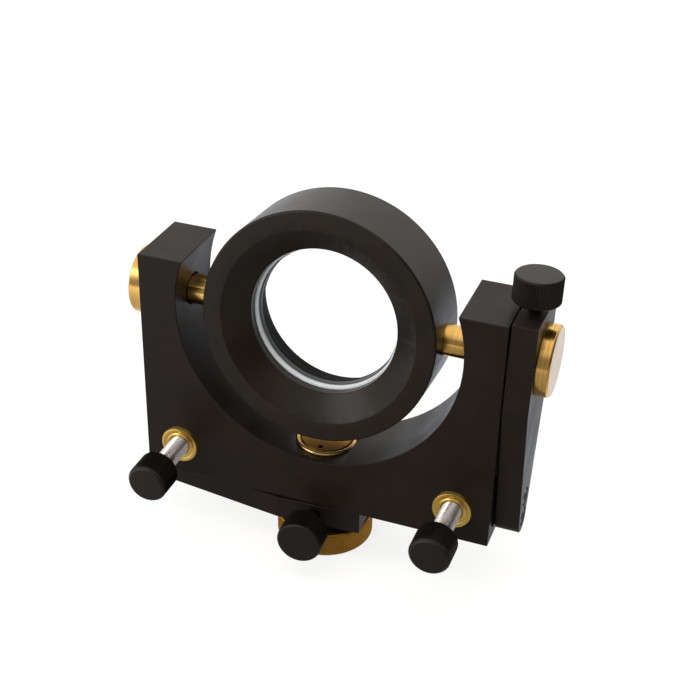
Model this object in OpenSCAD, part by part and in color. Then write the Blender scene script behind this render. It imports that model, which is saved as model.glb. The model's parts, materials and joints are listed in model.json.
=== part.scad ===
// Two-axis gimbal mirror mount for a two-inch optic, in millimetres.
// +X runs right along the trunnions, +Y away from the front, +Z up.
// The origin is the centre of the foot wheel's underside, on the vertical pivot.

/* [Cell] */
// Diameter of the optic that the cell takes
optic_d = 50.8; // [45:0.1:62]
// Radial clearance between optic and bore
optic_gap = 0.1; // [0.1:0.05:1]
// Wall of the cell outside the bore
cell_wall = 11; // [9.5:0.05:14]
// Thickness of the cell from front to back
cell_t = 23.2; // [20:0.1:28]
// Width of the lip that the optic rests on
lip_w = 2.4; // [2:0.05:4]
// Depth of the front cone
cone_deep = 5.9; // [4:0.1:7]
// How much wider the cone is at its mouth than at the lip
cone_flare = 7.5; // [4:0.1:9]
// Length of the lip behind the cone
lip_t = 2.9; // [1:0.1:3.2]
// Thickness of the spacer ring
spacer_t = 1.8; // [1.5:0.1:3.2]
// Thickness of the retaining ring
retainer_t = 3; // [2.5:0.1:4]
// Tilt of the cell as set, front face upwards
cell_tilt = 4.8; // [0:0.1:10]

/* [Yoke] */
// Thickness of the yoke from front to back
yoke_d = 25; // [21:0.5:30]
// Gap between the cell and the round window
window_gap = 8.5; // [7:0.1:12]
// Wall of each arm beside the window, at the trunnions
arm_wall = 12; // [10:0.1:16]
// Height of the sill under the window
sill_h = 16.5; // [14:0.1:20]
// Height of the arms above the trunnions
arm_over = 15; // [13:0.1:18]

/* [Pivots] */
// Diameter of the trunnions and the vertical post
pivot_d = 9.5; // [8:0.1:11]
// Diameter of the trunnion discs
disc_d = 21.5; // [18:0.1:24]
// Thickness of the right trunnion's disc
right_disc_t = 4; // [3:0.1:6]
// Thickness of the left trunnion's disc
left_disc_t = 5; // [3:0.1:6]
// Depth of each trunnion in the cell
trunnion_deep = 8; // [6.5:0.1:9]
// Wall of the trunnions' sleeve bushes
sleeve_wall = 1.7; // [1.2:0.1:2.2]
// Diameter of the post's head
head_d = 16; // [14.5:0.1:18]
// Thickness of the post's head
head_t = 3.5; // [2.5:0.1:4]
// Diameter of the flanged bush round the post's head
post_bush_d = 19.4; // [19:0.1:22]

/* [Levers] */
// Thickness of both levers
lever_t = 7.5; // [7:0.1:9]
// Gap between each lever and the yoke, filled by a thrust washer
lever_gap = 0.5; // [0.4:0.1:1]
// Radius of the levers' rounded tips
lever_tip_r = 4.45; // [4:0.05:5]
// Length of lever past the middle of its foot
lever_tail = 8.9; // [7:0.1:10]
// Turn of the pitch lever against the yoke as set
pitch_set = 2.6; // [0:0.1:3]
// Turn of the yaw lever against the yoke as set
yaw_set = 3; // [0:0.1:3]
// Width of each lever's foot, front to back
foot_w = 6; // [5:0.1:7]
// Length of each foot along its lever
foot_l = 13; // [12:0.1:13.5]
// Spacing of the two cap screws that hold each foot
foot_pitch = 7.2; // [6.5:0.1:7.5]

/* [Adjusters] */
// Diameter of the fine screws
screw_d = 6.35; // [5:0.05:7]
// Distance of each screw in from the yoke's side
screw_inset = 11.7; // [11:0.1:14]
// Height of each screw above the yoke's underside
screw_rise = 11.1; // [10.8:0.1:13]
// Length of the pitch screw that shows between its bush and knob
pitch_screw_out = 13.8; // [9:0.1:18]
// Length of the yaw screw that shows between its bush and knob
yaw_screw_out = 13.2; // [9:0.1:18]
// Diameter of the screw bush's flange
bush_flange_d = 12.6; // [10.8:0.1:14]
// Thickness of the screw bush's flange
bush_flange_t = 1.3; // [0.8:0.1:2]
// Diameter of the adjusters' knobs
knob_d = 12.8; // [10:0.1:15]
// Length of the adjusters' knobs
knob_l = 9.6; // [6:0.1:12]

/* [Clamps] */
// Diameter of the clamps' knobs
clamp_knob_d = 14.2; // [10:0.1:16]
// Length of the clamps' knobs
clamp_knob_l = 8.4; // [6:0.1:10]
// Diameter of the clamp screws
clamp_screw_d = 4; // [3:0.1:4.6]
// Length of clamp screw that shows above the pitch lever
clamp_stem = 2.6; // [2:0.1:8]
// Clearance between the foot wheel's rim and the yaw clamp's knob
clamp_clear = 3.8; // [1:0.1:6]

/* [Foot wheel] */
// Diameter of the foot wheel
wheel_d = 31; // [26:0.5:38]
// Thickness of the foot wheel
wheel_h = 8; // [7:0.1:12]
// Height from the wheel's rim to the yaw lever
wheel_gap = 2.2; // [1.6:0.1:4]
// Diameter of the hole tapped in the post for a stand
stand_hole_d = 5; // [4:0.1:5.5]
// Depth of that hole
stand_hole_l = 9; // [6:0.5:9]

/* [Fits] */
// Radial clearance of what turns or slides
running = 0.05; // [0.03:0.01:0.1]
// Clearance of what is pressed or screwed in
seat = 0.02; // [0.01:0.01:0.04]
// Clearance of holes that a shaft only passes
pass = 0.3; // [0.3:0.05:0.5]

/* [Hidden] */
$fn = 96;
bore_r = optic_d / 2 + optic_gap;
retainer_r = bore_r - 0.3;
lip_r = bore_r - lip_w;
cell_r = bore_r + cell_wall;
cell_front = -cell_t / 2;
lip_front = cell_front + cone_deep;
spacer_front = lip_front + lip_t;
retainer_front = spacer_front + spacer_t;
retainer_back = retainer_front + retainer_t;
window_r = cell_r + window_gap;
side_x = window_r + arm_wall;
front_y = -yoke_d / 2;
lever_low = wheel_h + wheel_gap;
lever_high = lever_low + lever_t;
sill_z = lever_high + lever_gap;
axis_z = sill_z + sill_h + window_r;
yoke_h = sill_h + window_r + arm_over;
pivot_r = pivot_d / 2;
sleeve_r = pivot_r + running + sleeve_wall;
sleeve_l = arm_wall - 3;
lever_in_x = side_x + lever_gap;
lever_out_x = lever_in_x + lever_t;
end_play = 0.05;
edge = 0.5;

// Head of the vertical post, just under the window's floor at its sides
head_top = axis_z - sqrt(pow(window_r, 2) - pow(post_bush_d / 2, 2)) + 0.2;
head_low = head_top - head_t;
head_bush_floor = 1.65;
post_bush_low = head_low - end_play - head_bush_floor;
post_sleeve_r = pivot_r + running + 2.7;

// Adjusters: both screws lie at the same height, one at each side
screw_r = screw_d / 2;
screw_x = side_x - screw_inset;
screw_z = sill_z + screw_rise;
screw_drop = axis_z - screw_z;
foot_shift = 0.7;
lever_reach = max(screw_x, screw_drop + foot_shift) + lever_tail;
pocket_w = foot_w + 10;
pocket_r = 2;
foot_over = 3.2;
foot_play = 1.2;
foot_play_out = 0.5;
wall_front = (yoke_d - pocket_w) / 2;
screw_bush_r = screw_r + running + 1.8;
ball_r = 1.5;
ball_out = 0.9;
pitch_knob_y = front_y - bush_flange_t - pitch_screw_out;
yaw_knob_y = front_y - bush_flange_t - yaw_screw_out;
spring_r = 3.2;
spring_wire = 0.6;
spring_turns = 4.5;
plug_r = spring_r + 1.3;
plug_t = 3;
plug_y = -front_y - plug_t;

// Cap screws of the feet
cap_r = 2.75;
cap_t = 3;
cap_shank_r = 1.45;
cap_shank_l = 11;
cap_hole_r = 3;

// Straight knurling on the knobs and the foot wheel
knurl_deep = 0.28;
knurl_step = 0.65;
wheel_knurl_step = 0.75;
knurl_under = 0.07;

// Clamp slugs and screws, measured from the axis that they lock
slug_r = clamp_screw_d / 2 - 0.2;
slug_t = 2;
slug_at = pivot_r + end_play;
pitch_clamp_at = arm_over + clamp_stem;
yaw_clamp_at = max(yoke_d / 2 + clamp_stem, wheel_d / 2 + clamp_clear);
pitch_clamp_turn = 180;
yaw_clamp_turn = -90;

// ---- places ----

// Local +x down the pitch lever, +z outwards from its inner face
module on_pitch_lever() {
    translate([lever_in_x, 0, axis_z])
        rotate([-pitch_set, 0, 0])
            rotate([0, 90, 0])
                children();
}

// Local +x out along the yaw lever, +z down from its upper face
module on_yaw_lever() {
    translate([0, 0, lever_high])
        rotate([0, 0, yaw_set])
            rotate([0, 180, 0])
                children();
}

// Local +z from the cell's middle out of its back
module on_cell() {
    translate([0, 0, axis_z])
        rotate([-cell_tilt, 0, 0])
            rotate([-90, 0, 0])
                children();
}

// Local +z back along a fine screw from the middle of the yoke
module on_screw(side) {
    translate([side * screw_x, 0, screw_z])
        rotate([-90, 0, 0])
            children();
}

// Local +z out along a clamp screw from the axis of the shaft it locks
module on_clamp(turn) {
    translate([0, 0, lever_t / 2])
        rotate([0, 0, turn])
            rotate([0, 90, 0])
                children();
}

// ---- shapes ----

function knurl_points(r, deep, teeth) =
    [for (i = [0 : 2 * teeth - 1])
        let (q = i % 2 == 0 ? r : r - deep, a = 180 * i / teeth)
            [q * cos(a), q * sin(a)]];

// Round bar standing on z = 0 with an edge break at each end
module turned(r, h, low = edge, high = edge) {
    rotate_extrude()
        polygon([[0, 0], [r - low, 0], [r, low], [r, h - high], [r - high, h], [0, h]]);
}

module tube(r_out, r_in, h) {
    difference() {
        cylinder(r = r_out, h = h);
        translate([0, 0, -1])
            cylinder(r = r_in, h = h + 2);
    }
}

// Straight-knurled knob on z = 0, its face upwards with a turned bevel.
// The plain ends lie a little below the roots of the knurl.
module knurled_knob(d, l, bevel) {
    r = d / 2;
    teeth = round(PI * d / knurl_step);
    turned(r - knurl_deep - knurl_under, l, edge, bevel);
    translate([0, 0, edge])
        linear_extrude(l - edge - bevel)
            polygon(knurl_points(r, knurl_deep, teeth));
}

// Outline of a lever: square head, then straight sides that close on a round tip.
// The sides run just inside their tangents, so that they cut the tip's circle.
module lever_outline() {
    half = yoke_d / 2;
    tip_x = lever_reach - lever_tip_r;
    side_r = lever_tip_r - 0.02;
    away = norm([tip_x - half, half]);
    lean = 180 - atan2(half, tip_x - half) - acos(side_r / away);
    touch = [tip_x + side_r * cos(lean), side_r * sin(lean)];
    polygon([
        [-arm_over, -half], [half, -half], [touch[0], -touch[1]],
        touch, [half, half], [-arm_over, half]
    ]);
    translate([tip_x, 0])
        circle(r = lever_tip_r);
}

// Lever with its shaft bore, clamp hole and the foot's two screw holes
module lever_bar(foot_at, clamp_turn) {
    difference() {
        linear_extrude(lever_t)
            lever_outline();
        translate([0, 0, -1])
            cylinder(r = pivot_r + running, h = lever_t + 2);
        on_clamp(clamp_turn)
            cylinder(r = clamp_screw_d / 2 + seat, h = yoke_d + arm_over);
        for (s = [-1, 1])
            translate([foot_at + s * foot_pitch / 2, 0, 0]) {
                translate([0, 0, -1])
                    cylinder(r = cap_shank_r + 0.15, h = lever_t + 2);
                translate([0, 0, lever_t - cap_t - 0.2])
                    cylinder(r = cap_hole_r, h = cap_t + 1);
            }
    }
}

// Foot of a lever: a bar that stands in the yoke's pocket, tapped for two screws
module foot_block(foot_at, l) {
    difference() {
        translate([foot_at - foot_l / 2, -foot_w / 2, -l])
            cube([foot_l, foot_w, l]);
        for (s = [-1, 1])
            translate([foot_at + s * foot_pitch / 2, 0, -cap_shank_l])
                cylinder(r = cap_shank_r + seat, h = cap_shank_l + 1);
    }
}

// Two cap screws with hexagon sockets, seated in a lever's counterbores
module foot_screws(foot_at) {
    seat_z = lever_t - cap_t - 0.2;
    for (s = [-1, 1])
        translate([foot_at + s * foot_pitch / 2, 0, seat_z])
            difference() {
                union() {
                    turned(cap_r, cap_t, 0.1, 0.3);
                    translate([0, 0, -seat_z - cap_shank_l + 1.5])
                        cylinder(r = cap_shank_r, h = seat_z + cap_shank_l - 1.5);
                }
                translate([0, 0, cap_t - 1.5])
                    rotate([0, 0, 30])
                        cylinder(r = 1.44, h = 2, $fn = 6);
            }
}

// Pocket cut with a round cutter, from z = 0 up
module milled_pocket(l, w, deep) {
    linear_extrude(deep) {
        square([l - 2 * pocket_r, w], center = true);
        square([l, w - 2 * pocket_r], center = true);
        for (sx = [-1, 1], sy = [-1, 1])
            translate([sx * (l / 2 - pocket_r), sy * (w / 2 - pocket_r)])
                circle(r = pocket_r);
    }
}

// Compression spring along +z, its wire swept round a helix
module coil_spring(length) {
    sides = 8;
    per_turn = 18;
    rings = round(spring_turns * per_turn);
    wire = spring_wire / 2;
    mean_r = spring_r - wire;
    rise = (length - 2 * wire) / rings;
    points = [
        for (i = [0 : rings])
            for (j = [0 : sides - 1])
                let (a = 360 * i / per_turn, b = 360 * j / sides, q = mean_r + wire * cos(b))
                    [q * cos(a), q * sin(a), wire + i * rise + wire * sin(b)]
    ];
    walls = [
        for (i = [0 : rings - 1])
            for (j = [0 : sides - 1])
                let (k = (j + 1) % sides)
                    [i * sides + j, i * sides + k, (i + 1) * sides + k, (i + 1) * sides + j]
    ];
    first = [for (j = [sides - 1 : -1 : 0]) j];
    last = [for (j = [0 : sides - 1]) rings * sides + j];
    polyhedron(points, concat([first], walls, [last]), convexity = 8);
}

// ---- yoke and what is fitted in it ----

module yoke() {
    // a swinging foot only draws in towards its pivot, so it has less play outwards
    pocket_l = foot_l + foot_play + 0.2 + foot_play_out;
    draw_in = (foot_play + 0.2 - foot_play_out) / 2;
    color("#1d1b1a")
        difference() {
            translate([-side_x, front_y, sill_z])
                cube([2 * side_x, yoke_d, yoke_h]);
            translate([0, 0, axis_z])
                rotate([90, 0, 0])
                    cylinder(r = window_r, h = yoke_d + 2, center = true, $fn = 192);
            // trunnion bores, wide for the sleeves and narrow beside the window
            translate([0, 0, axis_z])
                rotate([0, 90, 0]) {
                    cylinder(r = pivot_r + pass, h = 2 * side_x + 2, center = true);
                    for (s = [-1, 1])
                        translate([0, 0, s * (side_x - sleeve_l / 2 + 0.5)])
                            cylinder(r = sleeve_r + seat, h = sleeve_l + 1, center = true);
                }
            // vertical bore with the recess for the flanged bush
            translate([0, 0, sill_z - 1])
                cylinder(r = post_sleeve_r + seat, h = sill_h + 10);
            translate([0, 0, post_bush_low])
                cylinder(r = post_bush_d / 2 + seat, h = sill_h + 10);
            // screw bushes in front, spring bores behind
            for (s = [-1, 1])
                on_screw(s) {
                    translate([0, 0, front_y - 1])
                        cylinder(r = screw_bush_r + seat, h = wall_front + 2);
                    cylinder(r = plug_r + seat, h = yoke_d);
                }
            // pockets for the two feet
            translate([side_x + 1, 0, axis_z - screw_drop - foot_shift + draw_in])
                rotate([0, -90, 0])
                    milled_pocket(pocket_l, pocket_w, screw_inset + foot_over + foot_play + 1);
            translate([draw_in - screw_x, 0, sill_z - 1])
                milled_pocket(pocket_l, pocket_w, screw_rise + foot_over + foot_play + 1);
        }
}

// Plain sleeve pressed into an arm from outside
module trunnion_bush(side) {
    color("#a9803c")
        translate([side * (side_x - sleeve_l / 2), 0, axis_z])
            rotate([0, 90, 0])
                translate([0, 0, -sleeve_l / 2])
                    tube(sleeve_r, pivot_r + running, sleeve_l);
}

module trunnion_bush_left() {
    trunnion_bush(-1);
}

module trunnion_bush_right() {
    trunnion_bush(1);
}

// Flanged bush with a rounded rim that stands round the post's head
module post_bush() {
    rim_in = head_d / 2 + pass;
    rim_out = post_bush_d / 2;
    rim_mid = (rim_in + rim_out) / 2;
    rim_r = (rim_out - rim_in) / 2;
    color("#c79a3e")
        difference() {
            union() {
                translate([0, 0, sill_z])
                    cylinder(r = post_sleeve_r, h = post_bush_low - sill_z + 1);
                translate([0, 0, post_bush_low])
                    cylinder(r = rim_out, h = head_top - rim_r - post_bush_low);
                translate([0, 0, head_top - rim_r])
                    rotate_extrude()
                        translate([rim_mid, 0])
                            circle(r = rim_r, $fn = 48);
            }
            translate([0, 0, post_bush_low + head_bush_floor])
                cylinder(r = rim_in, h = head_t + 2);
            translate([0, 0, sill_z - 1])
                cylinder(r = pivot_r + running, h = sill_h + 10);
        }
}

// Thrust washer between the yoke's right side and the pitch lever
module pitch_washer() {
    color("#c9c6c0")
        translate([side_x, 0, axis_z])
            rotate([0, 90, 0])
                tube(disc_d / 2 - 1.5, pivot_r + pass, lever_gap - end_play);
}

// Flanged bush of a fine screw: a narrow bevel at its mouth and a domed rim
module screw_bush(side) {
    bore = screw_r + running;
    dome_w = 1.4;
    dome_h = bush_flange_t - 0.3;
    dome_x = bush_flange_d / 2 - dome_w;
    color("#caa047")
        on_screw(side)
            translate([0, 0, front_y])
                rotate_extrude()
                    polygon(concat(
                        [[bore, -bush_flange_t + 0.35], [bore + 0.35, -bush_flange_t]],
                        [for (a = [0 : 15 : 90]) [dome_x + dome_w * sin(a), -0.3 - dome_h * cos(a)]],
                        [[bush_flange_d / 2, 0], [screw_bush_r, 0]],
                        [[screw_bush_r, wall_front], [bore, wall_front]]
                    ));
}

module pitch_screw_bush() {
    screw_bush(1);
}

module yaw_screw_bush() {
    screw_bush(-1);
}

// Each spring stands between a foot's back and its plug
module foot_spring(side, foot_y) {
    start = foot_y + foot_w / 2 + 0.2;
    color("#9a9a98")
        on_screw(side)
            translate([0, 0, start])
                coil_spring(plug_y - start);
}

module pitch_spring() {
    foot_spring(1, -screw_drop * tan(pitch_set));
}

module yaw_spring() {
    foot_spring(-1, -screw_x * tan(yaw_set));
}

// Threaded plug with a hexagon socket behind a spring
module spring_plug(side) {
    color("#3a3a3c")
        on_screw(side)
            translate([0, 0, plug_y])
                difference() {
                    turned(plug_r, plug_t, 0.2, 0.4);
                    translate([0, 0, plug_t - 1.6])
                        cylinder(r = 2.3, h = 2, $fn = 6);
                }
}

module pitch_spring_plug() {
    spring_plug(1);
}

module yaw_spring_plug() {
    spring_plug(-1);
}

// ---- cell ----

module ring_cell() {
    back = cell_t / 2;
    color("#242221")
        difference() {
            on_cell()
                rotate_extrude($fn = 192)
                    polygon([
                        [lip_r + cone_flare, cell_front], [cell_r - edge, cell_front],
                        [cell_r, cell_front + edge], [cell_r, back - edge],
                        [cell_r - edge, back], [bore_r + edge, back], [bore_r, back - edge],
                        [bore_r, retainer_back + seat], [retainer_r + seat, retainer_back + seat],
                        [retainer_r + seat, spacer_front], [lip_r, spacer_front],
                        [lip_r, lip_front]
                    ]);
            for (s = [-1, 1])
                translate([s * (cell_r - trunnion_deep / 2 + 1), 0, axis_z])
                    rotate([0, 90, 0])
                        cylinder(r = pivot_r + seat, h = trunnion_deep + 2, center = true);
        }
}

// Bright spacer against the lip, in place of an optic's edge
module spacer_ring() {
    color("#d9d7d2")
        on_cell()
            translate([0, 0, spacer_front])
                tube(retainer_r, lip_r - 0.7, spacer_t);
}

// Threaded ring with two spanner slots in its back
module retaining_ring() {
    color("#4a4744")
        on_cell()
            translate([0, 0, retainer_front])
                difference() {
                    tube(retainer_r, lip_r - 1.1, retainer_t);
                    translate([0, 0, retainer_t])
                        rotate([0, 0, -26])
                            cube([2 * bore_r + 2, 2, 2], center = true);
                }
}

// Shaft and disc turned in one, entered from outside the yoke
module trunnion(disc_t, disc_in) {
    shaft_end = cell_r - trunnion_deep;
    translate([0, 0, shaft_end])
        cylinder(r = pivot_r, h = disc_in - shaft_end + 1);
    translate([0, 0, disc_in])
        turned(disc_d / 2, disc_t, 0.15);
}

module left_trunnion() {
    color("#cda349")
        translate([0, 0, axis_z])
            rotate([0, -90, 0])
                trunnion(left_disc_t, side_x + end_play);
}

module right_trunnion() {
    color("#cda349")
        translate([0, 0, axis_z])
            rotate([0, 90, 0])
                trunnion(right_disc_t, lever_out_x + end_play);
}

// ---- pitch lever ----

module pitch_lever() {
    color("#1f1d1c")
        on_pitch_lever()
            lever_bar(screw_drop + foot_shift, pitch_clamp_turn);
}

module pitch_foot() {
    color("#2d2c2b")
        on_pitch_lever()
            foot_block(screw_drop + foot_shift, lever_gap + screw_inset + foot_over);
}

module pitch_foot_screws() {
    color("#2d2c2b")
        on_pitch_lever()
            foot_screws(screw_drop + foot_shift);
}

// ---- yaw lever ----

module yaw_lever() {
    color("#1f1d1c")
        on_yaw_lever()
            lever_bar(screw_x, yaw_clamp_turn);
}

module yaw_foot() {
    color("#2d2c2b")
        on_yaw_lever()
            foot_block(screw_x, lever_gap + screw_rise + foot_over);
}

module yaw_foot_screws() {
    color("#2d2c2b")
        on_yaw_lever()
            foot_screws(screw_x);
}

module yaw_washer() {
    color("#c9c6c0")
        translate([0, 0, lever_high])
            tube(disc_d / 2 - 1.5, pivot_r + pass, lever_gap - end_play);
}

// ---- clamps ----

// Soft slug that the clamp screw presses on the shaft
module clamp_slug(turn) {
    on_clamp(turn)
        translate([0, 0, slug_at])
            cylinder(r = slug_r, h = slug_t);
}

module clamp_screw(turn, knob_at) {
    start = slug_at + slug_t;
    on_clamp(turn)
        translate([0, 0, start])
            cylinder(r = clamp_screw_d / 2 - running, h = knob_at + 5 - start);
}

module clamp_knob(turn, knob_at) {
    on_clamp(turn)
        translate([0, 0, knob_at])
            difference() {
                knurled_knob(clamp_knob_d, clamp_knob_l, edge);
                translate([0, 0, -1])
                    cylinder(r = clamp_screw_d / 2 - running + seat, h = 6);
            }
}

module pitch_clamp_slug() {
    color("#c79a3e")
        on_pitch_lever()
            clamp_slug(pitch_clamp_turn);
}

module pitch_clamp_screw() {
    color("#46423e")
        on_pitch_lever()
            clamp_screw(pitch_clamp_turn, pitch_clamp_at);
}

module pitch_clamp_knob() {
    color("#2e2c2b")
        on_pitch_lever()
            clamp_knob(pitch_clamp_turn, pitch_clamp_at);
}

module yaw_clamp_slug() {
    color("#c79a3e")
        on_yaw_lever()
            clamp_slug(yaw_clamp_turn);
}

module yaw_clamp_screw() {
    color("#46423e")
        on_yaw_lever()
            clamp_screw(yaw_clamp_turn, yaw_clamp_at);
}

module yaw_clamp_knob() {
    color("#2e2c2b")
        on_yaw_lever()
            clamp_knob(yaw_clamp_turn, yaw_clamp_at);
}

// ---- fine adjusters ----

// Middle of a screw's ball when it bears on a foot turned by set at arm's length
function ball_y(arm, set) = -arm * tan(set) - (foot_w / 2 + ball_r + end_play) / cos(set);
pitch_ball_y = ball_y(screw_drop, pitch_set);
yaw_ball_y = ball_y(screw_x, yaw_set);

// Hardened ball held in the screw's end
module screw_ball(side, at) {
    color("#d8d8d6")
        on_screw(side)
            translate([0, 0, at])
                sphere(r = ball_r);
}

// Fine screw from inside its knob to the socket for the ball
module fine_screw(side, at, knob_y) {
    tip = at + ball_r - ball_out;
    color("#c9c9c8")
        on_screw(side)
            difference() {
                translate([0, 0, knob_y - 5])
                    turned(screw_r, tip - knob_y + 5, 0.3, 0.4);
                translate([0, 0, at])
                    sphere(r = ball_r + running);
            }
}

module fine_knob(side, knob_y) {
    color("#2e2c2b")
        on_screw(side)
            translate([0, 0, knob_y])
                rotate([180, 0, 0])
                    difference() {
                        knurled_knob(knob_d, knob_l, 0.8);
                        translate([0, 0, -1])
                            cylinder(r = screw_r + seat, h = 6);
                    }
}

module pitch_ball() {
    screw_ball(1, pitch_ball_y);
}

module pitch_screw() {
    fine_screw(1, pitch_ball_y, pitch_knob_y);
}

module pitch_knob() {
    fine_knob(1, pitch_knob_y);
}

module yaw_ball() {
    screw_ball(-1, yaw_ball_y);
}

module yaw_screw() {
    fine_screw(-1, yaw_ball_y, yaw_knob_y);
}

module yaw_knob() {
    fine_knob(-1, yaw_knob_y);
}

// ---- post and foot ----

// Vertical post with a head for a pin spanner and a tapped lower end
module pivot_post() {
    spanner_r = 6;
    color("#c79a3e")
        difference() {
            union() {
                cylinder(r = pivot_r, h = head_top - 1);
                translate([0, 0, head_low])
                    turned(head_d / 2, head_t, 0.2, 0.15);
            }
            translate([0, 0, -1])
                cylinder(r = stand_hole_d / 2, h = stand_hole_l + 1);
            for (a = [-88, 92])
                rotate([0, 0, a])
                    translate([spanner_r, 0, head_top - 1.5])
                        cylinder(r = 0.8, h = 2, $fn = 32);
        }
}

// Knurled wheel that the mount stands on, with a boss up to the washer
module foot_wheel() {
    r = wheel_d / 2;
    teeth = round(PI * wheel_d / wheel_knurl_step);
    color("#d2a547")
        difference() {
            union() {
                turned(r - knurl_deep - knurl_under, wheel_h, 0.4, 0.6);
                translate([0, 0, 0.6])
                    linear_extrude(wheel_h - 1.2)
                        polygon(knurl_points(r, knurl_deep, teeth));
                cylinder(r = head_d / 2, h = wheel_h + wheel_gap - lever_gap);
            }
            translate([0, 0, -1])
                cylinder(r = pivot_r + seat, h = wheel_h + wheel_gap + 2);
        }
}

module wheel_washer() {
    color("#c9c6c0")
        translate([0, 0, lever_low - lever_gap])
            tube(head_d / 2, pivot_r + pass, lever_gap - end_play);
}

yoke();
trunnion_bush_left();
trunnion_bush_right();
post_bush();
pitch_washer();
pitch_screw_bush();
yaw_screw_bush();
pitch_spring();
yaw_spring();
pitch_spring_plug();
yaw_spring_plug();
ring_cell();
spacer_ring();
retaining_ring();
left_trunnion();
right_trunnion();
pitch_lever();
pitch_foot();
pitch_foot_screws();
pitch_clamp_slug();
pitch_clamp_screw();
pitch_clamp_knob();
yaw_lever();
yaw_foot();
yaw_foot_screws();
yaw_washer();
yaw_clamp_slug();
yaw_clamp_screw();
yaw_clamp_knob();
pitch_ball();
pitch_screw();
pitch_knob();
yaw_ball();
yaw_screw();
yaw_knob();
pivot_post();
foot_wheel();
wheel_washer();
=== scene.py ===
import json
import math
import bmesh
import bpy
import numpy as np
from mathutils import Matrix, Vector

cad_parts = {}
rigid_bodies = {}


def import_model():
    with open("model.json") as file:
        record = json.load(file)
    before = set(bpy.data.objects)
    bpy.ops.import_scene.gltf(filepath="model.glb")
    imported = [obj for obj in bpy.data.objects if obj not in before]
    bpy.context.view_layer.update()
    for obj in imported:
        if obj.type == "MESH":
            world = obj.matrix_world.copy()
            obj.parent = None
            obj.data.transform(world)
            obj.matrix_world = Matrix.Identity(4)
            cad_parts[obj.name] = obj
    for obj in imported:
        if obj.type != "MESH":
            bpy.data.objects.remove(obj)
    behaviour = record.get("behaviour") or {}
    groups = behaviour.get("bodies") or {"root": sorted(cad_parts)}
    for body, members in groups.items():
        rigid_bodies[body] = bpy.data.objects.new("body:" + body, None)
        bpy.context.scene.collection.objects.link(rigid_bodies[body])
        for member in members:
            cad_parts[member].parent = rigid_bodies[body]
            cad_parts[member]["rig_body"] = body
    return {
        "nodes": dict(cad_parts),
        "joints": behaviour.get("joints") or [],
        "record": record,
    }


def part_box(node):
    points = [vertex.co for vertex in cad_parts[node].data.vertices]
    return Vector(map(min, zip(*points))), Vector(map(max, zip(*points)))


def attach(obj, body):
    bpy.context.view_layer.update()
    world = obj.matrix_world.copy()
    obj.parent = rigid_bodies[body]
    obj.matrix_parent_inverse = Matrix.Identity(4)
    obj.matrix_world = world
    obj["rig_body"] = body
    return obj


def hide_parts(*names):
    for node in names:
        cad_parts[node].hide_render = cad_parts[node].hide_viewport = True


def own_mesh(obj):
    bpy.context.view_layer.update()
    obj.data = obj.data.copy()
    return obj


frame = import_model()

# Two-axis gimbal mirror mount. Everything is in metres, in the CAD's own frame.

mm = 0.001
nodes = frame["nodes"]
record = frame["record"]
jointOf = {row["name"]: row for row in frame["joints"]}
mountOf = {row["name"]: row for row in record["mounts"]}
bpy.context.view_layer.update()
print("frame: %d nodes" % len(nodes))


# sRGB hex text to the linear colour that a shader socket takes
def hexToLinear(hexText):
    srgb = [int(hexText[i:i + 2], 16) / 255 for i in (1, 3, 5)]
    linear = [c / 12.92 if c <= 0.04045 else ((c + 0.055) / 1.055) ** 2.4 for c in srgb]
    return (*linear, 1.0)


# Texture scale for features of a given size on Object coordinates, which are in metres
def perMm(size):
    return 1000.0 / size


# Adds one shader node with its settings. An input given a socket is linked to it, one given a node
# is linked to the node's first output, and any other is set to the value.
def addNode(tree, kind, settings=None, inputs=None):
    made = tree.nodes.new(kind)
    for key, value in (settings or {}).items():
        setattr(made, key, value)
    for key, value in (inputs or {}).items():
        if isinstance(value, bpy.types.Node):
            value = value.outputs[0]
        if isinstance(value, bpy.types.NodeSocket):
            tree.links.new(value, made.inputs[key])
        else:
            made.inputs[key].default_value = value
    return made


# Node settings that come again and again
rgba = {"data_type": "RGBA"}
smooth = {"interpolation_type": "SMOOTHSTEP"}
adding, times, larger, smaller = ({"operation": kind} for kind in ("ADD", "MULTIPLY", "MAXIMUM", "MINIMUM"))
above, below, dotOf = ({"operation": kind} for kind in ("GREATER_THAN", "LESS_THAN", "DOT_PRODUCT"))
noiseMiddle = (0.3, 0.7)     # nearly all of a noise lies between these


# Inputs of a Map Range node that takes one span of values to another
def toSpan(start, end, low, high):
    return {"From Min": start, "From Max": end, "To Min": low, "To Max": high}


def unit(vector):
    vector = np.asarray(vector, float)
    return vector / np.linalg.norm(vector)


# Two directions square to an axis
def acrossAxis(axis):
    helper = np.array([0.0, 0.0, 1.0]) if abs(axis[2]) < 0.9 else np.array([1.0, 0.0, 0.0])
    first = unit(np.cross(helper, axis))
    return first, np.cross(axis, first)


# Height along an axis and distance from it, for every point of a CAD node
def aboutAxis(name, origin, axis):
    mesh = nodes[name].data
    flat = np.zeros(len(mesh.vertices) * 3)
    mesh.vertices.foreach_get("co", flat)
    away = flat.reshape(-1, 3) - origin
    along = away @ unit(axis)
    return along, np.linalg.norm(away - np.outer(along, unit(axis)), axis=1)


# Where a turned CAD node starts and ends along an axis, and its smallest and largest radius about it,
# among its points that are farther from the axis than a given radius
def turnedSpan(name, origin, axis, beyond=0.0):
    along, radius = aboutAxis(name, origin, axis)
    kept = radius >= beyond
    return along[kept].min(), along[kept].max(), radius[kept].min(), radius[kept].max()


def boxCentre(name):
    low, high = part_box(name)
    return np.array((low + high) / 2)


viewSettings = {
    "place": (0.11935, -0.32438, 0.27389),
    "turn": (59.18925, -1.55223, 20.06716),   # degrees about x, y and z
    "lens": 68.165, "sensor": 36.0,           # mm
}


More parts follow.
